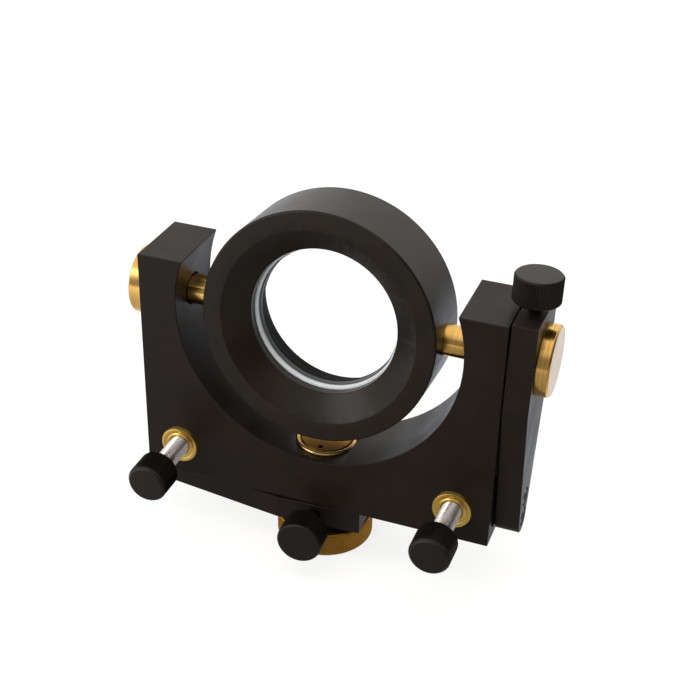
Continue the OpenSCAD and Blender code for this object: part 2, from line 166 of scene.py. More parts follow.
def makeCamera(settings):
    data = bpy.data.cameras.new("viewCamera")
    data.lens = settings["lens"]
    data.sensor_width = settings["sensor"]
    data.clip_start = 10 * mm
    camera = bpy.data.objects.new("viewCamera", data)
    camera.location = settings["place"]
    camera.rotation_euler = [math.radians(angle) for angle in settings["turn"]]
    bpy.context.scene.collection.objects.link(camera)
    bpy.context.scene.camera = camera
    bpy.context.scene.view_settings.view_transform = "Standard"


makeCamera(viewSettings)
print("camera: placed")

# Each fade runs along a coordinate from its first value to its second, and takes a strength from
# the third to the fourth. Over the sky the coordinate is a direction, over the floor a place in metres.
studioSettings = {
    "skyTint": "#fffdfa",
    "skyFades": {
        "Y": (-0.55, 0.35, 0.25, 1.0),       # dim room in front, white sweep behind the object
        "X": (-0.3, -0.95, 0.0, 0.6),        # bright room at the left
        "Z": (0.45, 0.85, 0.0, 0.6),         # pale ceiling
    },
    "skyMost": 1.0,
    "skyRight": (0.3, 0.9, 1.0, 0.15),       # share of it left towards the far right
    "floorColour": "#8d8c8a",
    "floorGlow": 0.78,                       # share of the floor's white that shadows can't darken
    "glossTint": "#eef2fc",                  # the object's gloss sees it by cool window light
    "floorFades": {
        "Y": (-0.05, 0.06, 0.03, 0.78),      # what gloss sees of it, from the front to the back
        "X": (0.0, -0.24, 0.03, 0.78),       # and from the middle to the left
    },
    "floorRight": (0.1, 0.28, 1.0, 0.15),    # share of it left at the right
    "floorSize": 3.0,
}


# Sky: white to the camera. All other rays find the sum of its fades, up to a most, less towards the right.
def makeSky(settings):
    world = bpy.data.worlds.new("studioSky")
    bpy.context.scene.world = world
    world.use_nodes = True
    tree = world.node_tree
    tree.nodes.clear()
    place = addNode(tree, "ShaderNodeTexCoord")
    parts = addNode(tree, "ShaderNodeSeparateXYZ", None, {0: place.outputs["Generated"]}).outputs
    level = 0.0
    for direction, fade in settings["skyFades"].items():
        share = addNode(tree, "ShaderNodeMapRange", smooth, {"Value": parts[direction], **toSpan(*fade)})
        level = addNode(tree, "ShaderNodeMath", adding, {0: level, 1: share})
    capped = addNode(tree, "ShaderNodeMath", smaller, {0: level, 1: settings["skyMost"]})
    right = addNode(tree, "ShaderNodeMapRange", smooth,
                    {"Value": parts["X"], **toSpan(*settings["skyRight"])})
    lit = addNode(tree, "ShaderNodeMath", times, {0: capped, 1: right})
    room = addNode(tree, "ShaderNodeBackground", None,
                   {"Color": hexToLinear(settings["skyTint"]), "Strength": lit})
    white = addNode(tree, "ShaderNodeBackground", None, {"Color": hexToLinear("#ffffff"), "Strength": 1.0})
    path = addNode(tree, "ShaderNodeLightPath")
    mix = addNode(tree, "ShaderNodeMixShader", None,
                  {0: path.outputs["Is Camera Ray"], 1: room, 2: white})
    addNode(tree, "ShaderNodeOutputWorld", None, {"Surface": mix})


# Floor: pale paper whose glow the camera and the object's gloss see, so that it stays white round a soft
# shadow. What the gloss sees of it is the larger of its fades, less towards the right.
def makeFloor(settings):
    half = settings["floorSize"] / 2
    mesh = bpy.data.meshes.new("studioFloor")
    mesh.from_pydata([(-half, -half, 0), (half, -half, 0), (half, half, 0), (-half, half, 0)],
                     [], [(0, 1, 2, 3)])
    floor = bpy.data.objects.new("studioFloor", mesh)
    bpy.context.scene.collection.objects.link(floor)
    material, tree = startMaterial("whitePaperSweep")
    path = addNode(tree, "ShaderNodeLightPath").outputs
    place = addNode(tree, "ShaderNodeTexCoord")
    parts = addNode(tree, "ShaderNodeSeparateXYZ", None, {0: place.outputs["Object"]}).outputs
    level = 0.0
    for direction, fade in settings["floorFades"].items():
        share = addNode(tree, "ShaderNodeMapRange", smooth, {"Value": parts[direction], **toSpan(*fade)})
        level = addNode(tree, "ShaderNodeMath", larger, {0: level, 1: share})
    right = addNode(tree, "ShaderNodeMapRange", smooth,
                    {"Value": parts["X"], **toSpan(*settings["floorRight"])})
    lit = addNode(tree, "ShaderNodeMath", times, {0: level, 1: right})
    glossed = addNode(tree, "ShaderNodeMath", times, {0: path["Is Glossy Ray"], 1: lit})
    plain = addNode(tree, "ShaderNodeMath", larger,
                    {0: path["Is Camera Ray"], 1: path["Is Transmission Ray"]})
    seen = addNode(tree, "ShaderNodeMath", times, {0: plain, 1: settings["floorGlow"]})
    strength = addNode(tree, "ShaderNodeMath", larger, {0: seen, 1: glossed})
    tint = addNode(tree, "ShaderNodeMix", rgba, {0: path["Is Glossy Ray"], 6: hexToLinear("#ffffff"),
                                                 7: hexToLinear(settings["glossTint"])})
    glow = addNode(tree, "ShaderNodeEmission", None, {"Color": tint.outputs[2], "Strength": strength})
    paper = addNode(tree, "ShaderNodeBsdfDiffuse", None, {"Color": hexToLinear(settings["floorColour"])})
    both = addNode(tree, "ShaderNodeAddShader", None, {0: paper, 1: glow})
    addNode(tree, "ShaderNodeOutputMaterial", None, {"Surface": both})
    mesh.materials.append(material)


# Soft boxes: where each stands and how large it is, in metres, its power in watts, and whether gloss
# mirrors it
lampSettings = {
    "leftSoftbox": {"place": (-0.65, -0.55, 0.58), "size": (0.5, 0.5), "power": 2.0, "mirrored": True},
    "topFill": {"place": (-0.15, 0.0, 1.1), "size": (0.9, 0.9), "power": 3.5, "mirrored": False},
    "frontFill": {"place": (-0.15, -1.15, 0.5), "size": (1.0, 1.0), "power": 11.0, "mirrored": False},
}
lampTarget = (0, 0, 0.07)    # the middle of the mount


def makeLamps(settings):
    for name, lamp in settings.items():
        data = bpy.data.lights.new(name, "AREA")
        data.shape = "RECTANGLE"
        data.size, data.size_y = lamp["size"]
        data.energy = lamp["power"]
        made = bpy.data.objects.new(name, data)
        made.location = lamp["place"]
        aim = Vector(lampTarget) - made.location
        made.rotation_euler = aim.to_track_quat("-Z", "Y").to_euler()
        made.visible_glossy = lamp["mirrored"]
        bpy.context.scene.collection.objects.link(made)


def startMaterial(name):
    material = bpy.data.materials.new(name)
    material.use_nodes = True
    tree = material.node_tree
    tree.nodes.clear()
    return material, tree


makeSky(studioSettings)
makeFloor(studioSettings)
makeLamps(lampSettings)
print("stage: floor, sky and %d lamps" % len(lampSettings))


# Object coordinates, centred on a point and turned so that local z runs along an axis
def alongAxis(tree, origin, axis):
    coords = addNode(tree, "ShaderNodeTexCoord")
    if axis is None:
        return coords.outputs["Object"]
    turn = Vector(axis).rotation_difference(Vector((0, 0, 1))).to_euler()
    moved = addNode(tree, "ShaderNodeMapping", {"vector_type": "POINT"},
                    {"Vector": coords.outputs["Object"], "Location": [-c for c in origin]})
    return addNode(tree, "ShaderNodeMapping", {"vector_type": "POINT"}, {"Vector": moved, "Rotation": turn})


# Distance from the local z axis, and height along it
def radiusAndHeight(tree, vector):
    parts = addNode(tree, "ShaderNodeSeparateXYZ", None, {0: vector}).outputs
    flat = addNode(tree, "ShaderNodeCombineXYZ", None, {0: parts[0], 1: parts[1]})
    radius = addNode(tree, "ShaderNodeVectorMath", {"operation": "LENGTH"}, {0: flat})
    return radius.outputs["Value"], parts[2]


# Marks that the making leaves. On a turned piece they are noise over radius and height only, so that each
# is a full circle about its axis. On any other piece they are the plain noise of a blasted or rolled grain.
def makingMarks(tree, vector, size, axis):
    if axis is None:
        return addNode(tree, "ShaderNodeTexNoise", None,
                       {"Vector": vector, "Scale": perMm(size), "Detail": 3.0})
    radius, height = radiusAndHeight(tree, vector)
    pair = addNode(tree, "ShaderNodeCombineXYZ", None, {0: radius, 1: height})
    return addNode(tree, "ShaderNodeTexNoise", {"noise_dimensions": "2D"},
                   {"Vector": pair, "Scale": perMm(size), "Detail": 2.0, "Roughness": 0.6})


# Sum of two noises, each brought to its own span of values
def noiseSum(tree, first, firstSpan, second, secondSpan):
    one = addNode(tree, "ShaderNodeMapRange", None, {"Value": first, **toSpan(*noiseMiddle, *firstSpan)})
    two = addNode(tree, "ShaderNodeMapRange", None, {"Value": second, **toSpan(*noiseMiddle, *secondSpan)})
    return addNode(tree, "ShaderNodeMath", adding, {0: one, 1: two})


# Direction across the turning marks, in which they spread a highlight: square to the circle round the axis
# and to the surface, so it runs along the axis on a flank and outwards on a face
def acrossMarks(tree, origin, axis):
    cross = {"operation": "CROSS_PRODUCT"}
    coords = addNode(tree, "ShaderNodeTexCoord").outputs
    away = addNode(tree, "ShaderNodeVectorMath", {"operation": "SUBTRACT"}, {0: coords["Object"], 1: origin})
    circle = addNode(tree, "ShaderNodeVectorMath", cross, {0: axis, 1: away})
    across = addNode(tree, "ShaderNodeVectorMath", cross, {0: circle, 1: coords["Normal"]})
    turned = addNode(tree, "ShaderNodeVectorTransform",
                     {"vector_type": "VECTOR", "convert_from": "OBJECT", "convert_to": "WORLD"},
                     {"Vector": across})
    return addNode(tree, "ShaderNodeVectorMath", {"operation": "NORMALIZE"}, {0: turned})


# 1 on flat ends square to an axis, 0 elsewhere, from the share of the normal that runs along the axis
def endFaces(tree, axis, share):
    coords = addNode(tree, "ShaderNodeTexCoord")
    facing = addNode(tree, "ShaderNodeVectorMath", dotOf, {0: axis, 1: coords.outputs["Normal"]})
    either = addNode(tree, "ShaderNodeMath", {"operation": "ABSOLUTE"}, {0: facing.outputs["Value"]})
    return addNode(tree, "ShaderNodeMapRange", smooth, {"Value": either, **toSpan(*share, 0, 1)})


# 1 on rounded edges and 0 on flats, from the cosine between a softened normal and the true one:
# full up to the first cosine and none from the second
def edgeMask(tree, radius, full, none):
    soft = addNode(tree, "ShaderNodeBevel", {"samples": 4}, {"Radius": radius * mm})
    plain = addNode(tree, "ShaderNodeNewGeometry")
    same = addNode(tree, "ShaderNodeVectorMath", dotOf, {0: soft, 1: plain.outputs["Normal"]})
    return addNode(tree, "ShaderNodeMapRange", None,
                   {"Value": same.outputs["Value"], **toSpan(none, full, 0, 1)})


# Dyed black anodised aluminium: the metal is blasted, then oxidised and dyed. That gives a warm near black
# with a low semi-gloss sheen, a fine grain, and a slightly greyer line where the dye is thin on edges.
anodisedSettings = {
    "dark": "#18120d", "light": "#1d1611", "edge": "#38332e",
    "edgeRadius": 0.25,     # mm
    "edgeCosine": (0.82, 0.97),
    "marks": 0.35,          # mm; real blasting grain is about 0.1, drawn coarser so that it shows
    "patch": 9.0,           # mm; slow change of sheen over a face
    "rough": (0.36, 0.46), "roughMarks": (-0.03, 0.03),
    "specular": 0.2,
    "bump": 0.003,          # mm
}

# The same on turned aluminium, where the marks are the tool's circles: smoother, so it shines more
cellSettings = {**anodisedSettings, "dark": "#17110b", "light": "#1c150e", "marks": 0.22,
                "rough": (0.29, 0.35), "specular": 0.25}
knobFinishSettings = {**anodisedSettings, "dark": "#17120e", "light": "#1c1612", "marks": 0.2,
                      "rough": (0.27, 0.35), "specular": 0.27}
# Dyed grey instead, on a turned ring: a plain slate with the same low sheen
greySettings = {**anodisedSettings, "dark": "#3a3e40", "light": "#434748", "edge": "#6b6864", "marks": 0.3,
                "specular": 0.3}

# The thread in the bore behind the optic, drawn as a bump. Its colour and specular are painted shade: darker
# and less glossy, for the shade in the recessed bore and its grooves. Sizes in mm
boreThreadAndShade = {"pitch": 0.635, "depth": 0.25, "within": 25.75, "colour": "#0b0907", "specular": 0.04}

# Straight knurling: the ridges are lighter where the dye has worn, and the roots are darker, which is painted
# shade in the crevices
ridgeWearAndRootShade = {
    "root": "#060403", "ridge": "#1e1915",
    "depth": 0.26,          # mm
    "flankDepths": 1.2,     # all that is less than so many depths below the ridges is flank
}


def anodised(name, settings, origin=None, axis=None, threadFrom=None, ridgeRadius=None):
    material, tree = startMaterial(name)
    vector = alongAxis(tree, origin, axis)
    patch = addNode(tree, "ShaderNodeTexNoise", None,
                    {"Vector": vector, "Scale": perMm(settings["patch"]), "Detail": 2.0})
    marks = makingMarks(tree, vector, settings["marks"], axis)
    normal = addNode(tree, "ShaderNodeBump", None, {"Height": marks, "Distance": settings["bump"] * mm})
    specular = settings["specular"]
    shade = addNode(tree, "ShaderNodeMapRange", None, {"Value": patch, **toSpan(*noiseMiddle, 0, 1)})
    colour = addNode(tree, "ShaderNodeMix", rgba, {0: shade, 6: hexToLinear(settings["dark"]),
                                                   7: hexToLinear(settings["light"])}).outputs[2]
    if ridgeRadius is None:
        worn = edgeMask(tree, settings["edgeRadius"], *settings["edgeCosine"])
        colour = addNode(tree, "ShaderNodeMix", rgba,
                         {0: worn, 6: colour, 7: hexToLinear(settings["edge"])}).outputs[2]
    else:
        radius, depth = radiusAndHeight(tree, vector)[0], ridgeWearAndRootShade["depth"] * mm
        deep = addNode(tree, "ShaderNodeMapRange", None,
                       {"Value": radius, **toSpan(ridgeRadius - depth, ridgeRadius, 0, 1)})
        # Painted shade: the knurl's roots are darkened below the ridges; the lighter ridges are wear
        flank = addNode(tree, "ShaderNodeMix", rgba, {0: deep, 6: hexToLinear(ridgeWearAndRootShade["root"]),
                                                      7: hexToLinear(ridgeWearAndRootShade["ridge"])})
        onFlank = addNode(tree, "ShaderNodeMath", above,
                          {0: radius, 1: ridgeRadius - ridgeWearAndRootShade["flankDepths"] * depth})
        colour = addNode(tree, "ShaderNodeMix", rgba, {0: onFlank, 6: colour, 7: flank.outputs[2]}).outputs[2]
    if threadFrom is not None:
        radius, height = radiusAndHeight(tree, vector)
        within = addNode(tree, "ShaderNodeMath", below, {0: radius, 1: boreThreadAndShade["within"] * mm})
        behind = addNode(tree, "ShaderNodeMath", above, {0: height, 1: threadFrom})
        inside = addNode(tree, "ShaderNodeMath", times, {0: within, 1: behind})
        turn = addNode(tree, "ShaderNodeMath", times,
                       {0: height, 1: 2 * math.pi / (boreThreadAndShade["pitch"] * mm)})
        wave = addNode(tree, "ShaderNodeMath", {"operation": "SINE"}, {0: turn})
        grooves = addNode(tree, "ShaderNodeMath", times, {0: wave, 1: inside})
        normal = addNode(tree, "ShaderNodeBump", None, {"Height": grooves, "Normal": normal,
                                                        "Distance": boreThreadAndShade["depth"] * mm})
        # Painted shade: inside the threaded bore the colour is darkened, and below, the gloss is lowered
        colour = addNode(tree, "ShaderNodeMix", rgba,
                         {0: inside, 6: colour, 7: hexToLinear(boreThreadAndShade["colour"])}).outputs[2]
        specular = addNode(tree, "ShaderNodeMapRange", smooth,
                           {"Value": inside, **toSpan(0, 1, specular, boreThreadAndShade["specular"])})
    rough = noiseSum(tree, patch, settings["rough"], marks, settings["roughMarks"])
    shader = addNode(tree, "ShaderNodeBsdfPrincipled", None,
                     {"Base Color": colour, "Roughness": rough, "Normal": normal, "IOR": 1.5,
                      "Specular IOR Level": specular})
    addNode(tree, "ShaderNodeOutputMaterial", None, {"Surface": shader})
    return material


# Bare metals. Reflection takes the metal's own colour, the marks of making spread it, and a thin tarnish
# dulls it in patches. Marks and bump are in mm.
tarnishSettings = {
    "size": 4.0,                                       # mm
    "inPatches": (0.1, 0.5), "inMarks": (-0.1, 0.5),   # how much of the dull colour each brings
    "roughMarks": (-0.04, 0.04),
    "endShare": (0.9, 0.98),                           # of the normal along the axis, on a faced end
}
metalSettings = {
    # Brass turned in a lathe: warm yellow flanks that hands keep bright, with a highlight drawn out across
    # the tool's circles. Its faced ends are painted greyer, a painted reflection of the pale cool light they
    # face
    "turnedBrass": dict(bright="#f8ce7c", dull="#dfa650", rough=(0.19, 0.23), marks=0.5, bump=0.0003,
                        across=0.3, paintedEndReflection="#c6a67c"),
    # Brass faced in a lathe and left as cut: the brightest yellow, with a soft even shine
    "flangeBrass": dict(bright="#fbdb80", dull="#ecba54", rough=(0.26, 0.32), marks=0.4, bump=0.0008),
    # Brass spun and polished: pale gold with clear reflections
    "spunBrass": dict(bright="#f0cf92", dull="#c89c58", rough=(0.18, 0.26), marks=0.3, bump=0.001),
    # Knurled brass that is handled: darker gold, and dull from the rolled ridges
    "wheelBrass": dict(bright="#c99540", dull="#a27029", rough=(0.34, 0.42), marks=0.2, bump=0.003),
    # Turned brass, drawn darker than the other brass: deep brown gold with a broad shine
    "postBrass": dict(bright="#b98436", dull="#8f6222", rough=(0.3, 0.38), marks=0.2, bump=0.002),
    # Bronze pressed from powder and sintered: brown, with pores that break up the shine
    "sinteredBronze": dict(bright="#b98a4e", dull="#8c6536", rough=(0.38, 0.5), marks=0.3, bump=0.004),
    # Stainless steel, thread ground: pale, clean and bright
    "groundSteel": dict(bright="#e9e2de", dull="#dcd4cf", rough=(0.19, 0.21), marks=0.5, bump=0.0003),
    # Hardened ball steel, lapped: nearly a mirror
    "hardenedSteel": dict(bright="#dcdcda", dull="#c6c6c4", rough=(0.06, 0.1), marks=0.5, bump=0.0002),
    # Drawn spring wire: grey steel, with faint marks of the die
    "springSteel": dict(bright="#a5a5a3", dull="#83827f", rough=(0.24, 0.34), marks=0.3, bump=0.001),
    # Aluminium blasted white: it scatters light as paper does, so it is only partly metallic
    "blastedAluminium": dict(bright="#eef1f3", dull="#e0e4e6", rough=(0.46, 0.54), marks=0.3,
                             bump=0.002, metallic=0.4),
    # Sheet steel, rolled and stamped: plain silver with a fine grain
    "stampedSteel": dict(bright="#cfccc6", dull="#b3b0aa", rough=(0.24, 0.34), marks=0.4, bump=0.001),
}


def bareMetal(name, settings, origin=None, axis=None):
    material, tree = startMaterial(name)
    vector = alongAxis(tree, origin, axis)
    marks = makingMarks(tree, vector, settings["marks"], axis)
    tarnish = addNode(tree, "ShaderNodeTexNoise", None,
                      {"Vector": vector, "Scale": perMm(tarnishSettings["size"]), "Detail": 4.0})
    worn = noiseSum(tree, tarnish, tarnishSettings["inPatches"], marks, tarnishSettings["inMarks"])
    colour = addNode(tree, "ShaderNodeMix", rgba, {0: worn, 6: hexToLinear(settings["bright"]),
                                                   7: hexToLinear(settings["dull"])}).outputs[2]
    # Painted reflection: the faced ends take a greyer colour for the pale cool light that they mirror
    if "paintedEndReflection" in settings:
        ends = endFaces(tree, axis, tarnishSettings["endShare"])
        colour = addNode(tree, "ShaderNodeMix", rgba,
                         {0: ends, 6: colour, 7: hexToLinear(settings["paintedEndReflection"])}).outputs[2]
    rough = noiseSum(tree, tarnish, settings["rough"], marks, tarnishSettings["roughMarks"])
    normal = addNode(tree, "ShaderNodeBump", None, {"Height": marks, "Distance": settings["bump"] * mm})
    inputs = {"Base Color": colour, "Roughness": rough, "Normal": normal,
              "Metallic": settings.get("metallic", 1.0)}
    if "across" in settings:
        inputs.update({"Anisotropic": settings["across"], "Tangent": acrossMarks(tree, origin, axis)})
    shader = addNode(tree, "ShaderNodeBsdfPrincipled", None, inputs)
    addNode(tree, "ShaderNodeOutputMaterial", None, {"Surface": shader})
    return material


# Black oxide on steel: a thin dark film that keeps some of the metal's gloss, browner where it is rubbed
blackOxideSettings = {
    "dark": "#161414", "rubbed": "#38342f", "metallic": 0.6,
    "edgeRadius": 0.15, "edgeCosine": (0.8, 0.97),
    "rough": (0.3, 0.42), "marks": 0.4, "bump": 0.002,   # mm
}


def blackOxide(name, settings):
    material, tree = startMaterial(name)
    marks = makingMarks(tree, alongAxis(tree, None, None), settings["marks"], None)
    rubbed = edgeMask(tree, settings["edgeRadius"], *settings["edgeCosine"])
    colour = addNode(tree, "ShaderNodeMix", rgba, {0: rubbed, 6: hexToLinear(settings["dark"]),
                                                   7: hexToLinear(settings["rubbed"])})
    rough = addNode(tree, "ShaderNodeMapRange", None,
                    {"Value": marks, **toSpan(*noiseMiddle, *settings["rough"])})
    normal = addNode(tree, "ShaderNodeBump", None, {"Height": marks, "Distance": settings["bump"] * mm})
    shader = addNode(tree, "ShaderNodeBsdfPrincipled", None,
                     {"Base Color": colour.outputs[2], "Roughness": rough,
                      "Normal": normal, "Metallic": settings["metallic"]})
    addNode(tree, "ShaderNodeOutputMaterial", None, {"Surface": shader})
    return material


def finishPiece(piece, nodeName, material):
    piece.data.materials.clear()
    piece.data.materials.append(material)
    bpy.context.scene.collection.objects.link(piece)
    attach(piece, nodes[nodeName]["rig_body"])
    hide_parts(nodeName)
    return piece


# How meshes are closed and shaded
meshSettings = {
    "cadMerge": 0.002, "gridMerge": 0.0005, "gridSliver": 0.0002,   # mm; points nearer than this are one
    "cadFlat": 0.4,                      # degrees; faces nearer to one plane than this are one
    "cadSharp": 28, "gridSharp": 40,     # degrees; edges past this stay sharp
    "roundingSegments": 2,
    "arcSteps": 5,                       # points on each rounded corner of an outline
}

# Rounding that deburring leaves along the edges of each milled or turned piece, in mm
edgeRounding = {
    "yoke": 0.3, "pitch_lever": 0.25, "yaw_lever": 0.25,
    "ring_cell": 0.15, "spacer_ring": 0.1, "retaining_ring": 0.1,
    "left_trunnion": 0.12, "right_trunnion": 0.12, "trunnion_bush_left": 0.1, "trunnion_bush_right": 0.1,
    "pivot_post": 0.1, "post_bush": 0.1, "pitch_washer": 0.05, "yaw_washer": 0.05, "wheel_washer": 0.05,
    "pitch_foot": 0.15, "yaw_foot": 0.15, "pitch_foot_screws": 0.08, "yaw_foot_screws": 0.08,
    "pitch_spring_plug": 0.1, "yaw_spring_plug": 0.1,
    "pitch_clamp_screw": 0.08, "yaw_clamp_screw": 0.08, "pitch_clamp_slug": 0.05, "yaw_clamp_slug": 0.05,
}


# Copy of a CAD node: its loose triangles merged into whole faces, then every sharp edge
# given the small rounding that deburring leaves
def deburredCopy(nodeName, material):
    sharp = math.radians(meshSettings["cadSharp"])
    shape = bmesh.new()
    shape.from_mesh(nodes[nodeName].data)
    bmesh.ops.remove_doubles(shape, verts=shape.verts, dist=meshSettings["cadMerge"] * mm)
    bmesh.ops.dissolve_degenerate(shape, edges=shape.edges, dist=meshSettings["cadMerge"] * mm)
    bmesh.ops.dissolve_limit(shape, angle_limit=math.radians(meshSettings["cadFlat"]),
                             verts=shape.verts, edges=shape.edges)
    mesh = bpy.data.meshes.new(nodeName + "_piece")
    shape.to_mesh(mesh)
    shape.free()
    mesh.shade_smooth()
    mesh.set_sharp_from_angle(angle=sharp)
    piece = bpy.data.objects.new(nodeName + "_piece", mesh)
    bevel = piece.modifiers.new("deburr", "BEVEL")
    bevel.width = edgeRounding[nodeName] * mm
    bevel.segments = meshSettings["roundingSegments"]
    bevel.limit_method = "ANGLE"
    bevel.angle_limit = sharp
    bevel.use_clamp_overlap = False
    bevel.harden_normals = True
    bevel.miter_outer = "MITER_ARC"
    return finishPiece(piece, nodeName, material)


# Outline with each corner replaced by an arc. Each point is (radius, height, corner radius), in metres.
# The arc's centre lies on the corner's bisector, and its ends are where it touches the two sides.
def roundedOutline(points):
    corners = np.array(points, float)[:, :2]
    share = np.linspace(0, 1, meshSettings["arcSteps"])[:, None]
    out = []
    for i, (_, _, size) in enumerate(points):
        if size == 0:
            out.append(corners[i][None])
            continue
        toLast, toNext = unit(corners[i - 1] - corners[i]), unit(corners[i + 1] - corners[i])
        half = math.acos(np.clip(toLast @ toNext, -1, 1)) / 2
        centre = corners[i] + unit(toLast + toNext) * size / math.sin(half)
        startArm = corners[i] + toLast * size / math.tan(half) - centre
        endArm = corners[i] + toNext * size / math.tan(half) - centre
        full = math.pi - 2 * half
        arc = (np.sin((1 - share) * full) * startArm + np.sin(share * full) * endArm) / math.sin(full)
        out.append(centre + arc)
    return np.vstack(out)


# Points about an axis: origin, plus height along the axis, plus radius times the cosine of the angle
# along one direction square to it and times the sine along the other
def ringPoints(origin, axis, radius, height, angle):
    first, second = acrossAxis(axis)
    return (np.asarray(origin)[None, None] + height[..., None] * axis
            + (radius * np.cos(angle))[..., None] * first + (radius * np.sin(angle))[..., None] * second)


# Mesh of a grid of points whose rows are closed rings, with caps where they are given. Poles and seams are
# merged, faces turned outwards, and only the edges past the sharp angle kept sharp.
def gridMesh(name, grid, closed=False, caps=()):
    rows, steps = grid.shape[:2]
    row, column = np.meshgrid(np.arange(rows if closed else rows - 1), np.arange(steps), indexing="ij")
    nextRow, beside = (row + 1) % rows, (column + 1) % steps
    faces = np.stack([row * steps + column, row * steps + beside,
                      nextRow * steps + beside, nextRow * steps + column], axis=-1).reshape(-1, 4)
    mesh = bpy.data.meshes.new(name)
    mesh.from_pydata(grid.reshape(-1, 3).tolist(), [], faces.tolist() + list(caps))
    shape = bmesh.new()
    shape.from_mesh(mesh)
    bmesh.ops.remove_doubles(shape, verts=shape.verts, dist=meshSettings["gridMerge"] * mm)
    bmesh.ops.dissolve_degenerate(shape, edges=shape.edges, dist=meshSettings["gridSliver"] * mm)
    bmesh.ops.recalc_face_normals(shape, faces=shape.faces)
    shape.to_mesh(mesh)
    shape.free()
    mesh.shade_smooth()
    mesh.set_sharp_from_angle(angle=math.radians(meshSettings["gridSharp"]))
    return bpy.data.objects.new(name, mesh)


# Surface of revolution: point (i, j) of the grid is the outline's point i turned by angle j about the axis,
# with its radius changed by radiusChange(angle, radius, height) where one is given
def turnedSurface(name, outline, origin, axis, steps, radiusChange=None, closed=False):
    angle = np.linspace(0, 2 * math.pi, steps, endpoint=False)[None, :]
    radius = np.repeat(outline[:, :1], steps, axis=1)
    height = np.repeat(outline[:, 1:2], steps, axis=1)
    if radiusChange is not None:
        radius = radius + radiusChange(angle, radius, height)
    return gridMesh(name, ringPoints(origin, unit(axis), radius, height, angle), closed)


# Straight knurling on a turned blank. The radius is the smaller of the blank's and of the knurled bar's,
# which is the ridge radius less a wave that is 0 on the ridges and a full depth in the roots, so a bevel
# cuts the ridges off. The wave is a triangle, steepened a little and clipped so that the roots are flat.
def knurledSurface(name, outline, origin, axis, radius, settings, closed=False):
    teeth = round(2 * math.pi * radius / (settings["knurlStep"] * mm))
    deep = settings["knurlDepth"] * mm

    def cut(angle, blank, height):
        share = np.abs(2 * ((teeth * angle / (2 * math.pi)) % 1.0) - 1)
        return np.minimum(0.0, radius - deep * np.clip(share * settings["knurlClip"], 0, 1) - blank)

    return turnedSurface(name, outline, origin, axis, teeth * settings["stepsPerTooth"], cut, closed)


# Knurled knob: a turned blank with a wide bevel round its face, knurled over its flank. Sizes in mm
knobSettings = {
    "knurlStep": 0.65, "knurlDepth": 0.26, "knurlClip": 1.15, "stepsPerTooth": 6,
    "faceBevel": 1.0, "backBevel": 0.55,
    "rounding": 0.1,         # on every turned corner
    "rowsInBand": 6,
}
clampKnobSettings = {**knobSettings, "faceBevel": 0.55}


def knurledKnob(nodeName, origin, axis, settings, material):
    low, high, _, radius = turnedSpan(nodeName, origin, axis)
    face, back, soft = (settings[key] * mm for key in ("faceBevel", "backBevel", "rounding"))
    band = np.linspace(low + back, high - face, settings["rowsInBand"] + 2)[1:-1]
    outline = roundedOutline([
        (0, low, 0), (radius - back, low, soft), (radius, low + back, soft), *[(radius, h, 0) for h in band],
        (radius, high - face, soft), (radius - face, high, soft), (radius - 2 * face, high, 0), (0, high, 0)])
    piece = knurledSurface(nodeName + "_knurled", outline, origin, axis, radius, settings)
    return finishPiece(piece, nodeName, material)


# Foot wheel: a bevelled ring that is knurled over its whole edge, with a boss inside. Sizes in mm
wheelSettings = {
    "knurlStep": 0.75, "knurlDepth": 0.26, "knurlClip": 1.15, "stepsPerTooth": 6,
    "topBevel": 0.6, "footBevel": 0.6, "rounding": 0.12,
    "bossGap": 1.0,          # the rim starts farther than this outside the boss
    "rowsInBand": 6,
}


def footWheel(settings, material):
    origin, up = (0, 0, 0), (0, 0, 1)
    low, high, bore, radius = turnedSpan("foot_wheel", origin, up)
    boss = turnedSpan("wheel_washer", origin, up)[3]
    rim = turnedSpan("foot_wheel", origin, up, boss + settings["bossGap"] * mm)[1]
    bevel, foot, soft = (settings[key] * mm for key in ("topBevel", "footBevel", "rounding"))
    band = np.linspace(low + foot, rim - bevel, settings["rowsInBand"] + 2)[1:-1]
    outline = roundedOutline([
        (bore, low, 0), (radius - foot, low, soft), (radius, low + foot, soft),
        *[(radius, h, 0) for h in band], (radius, rim - bevel, soft), (radius - bevel, rim, soft),
        (boss, rim, 0), (boss, high, soft), (bore, high, 0)])
    piece = knurledSurface("foot_wheel_knurled", outline, origin, up, radius, settings, closed=True)
    return finishPiece(piece, "foot_wheel", material)


# Flanged bush: a tube in the yoke's wall, and outside it a flange with a raised collar round the screw,
# a shallow groove, and a rim that is half an ellipse: half its width times the cosine of an angle outwards,
# its rise times the sine upwards
bushSettings = {
    "mouthBevel": 0.35, "collarWidth": 0.5, "grooveDepth": 0.28, "rimWidth": 1.8, "rimLow": 0.05,   # mm
    "mouthRounding": 0.06, "lipRounding": 0.12, "grooveRounding": 0.15,                             # mm
    "rimRise": 0.72,         # height of the rim's arc as a share of half its width
    "rimSteps": 13, "steps": 144,
}


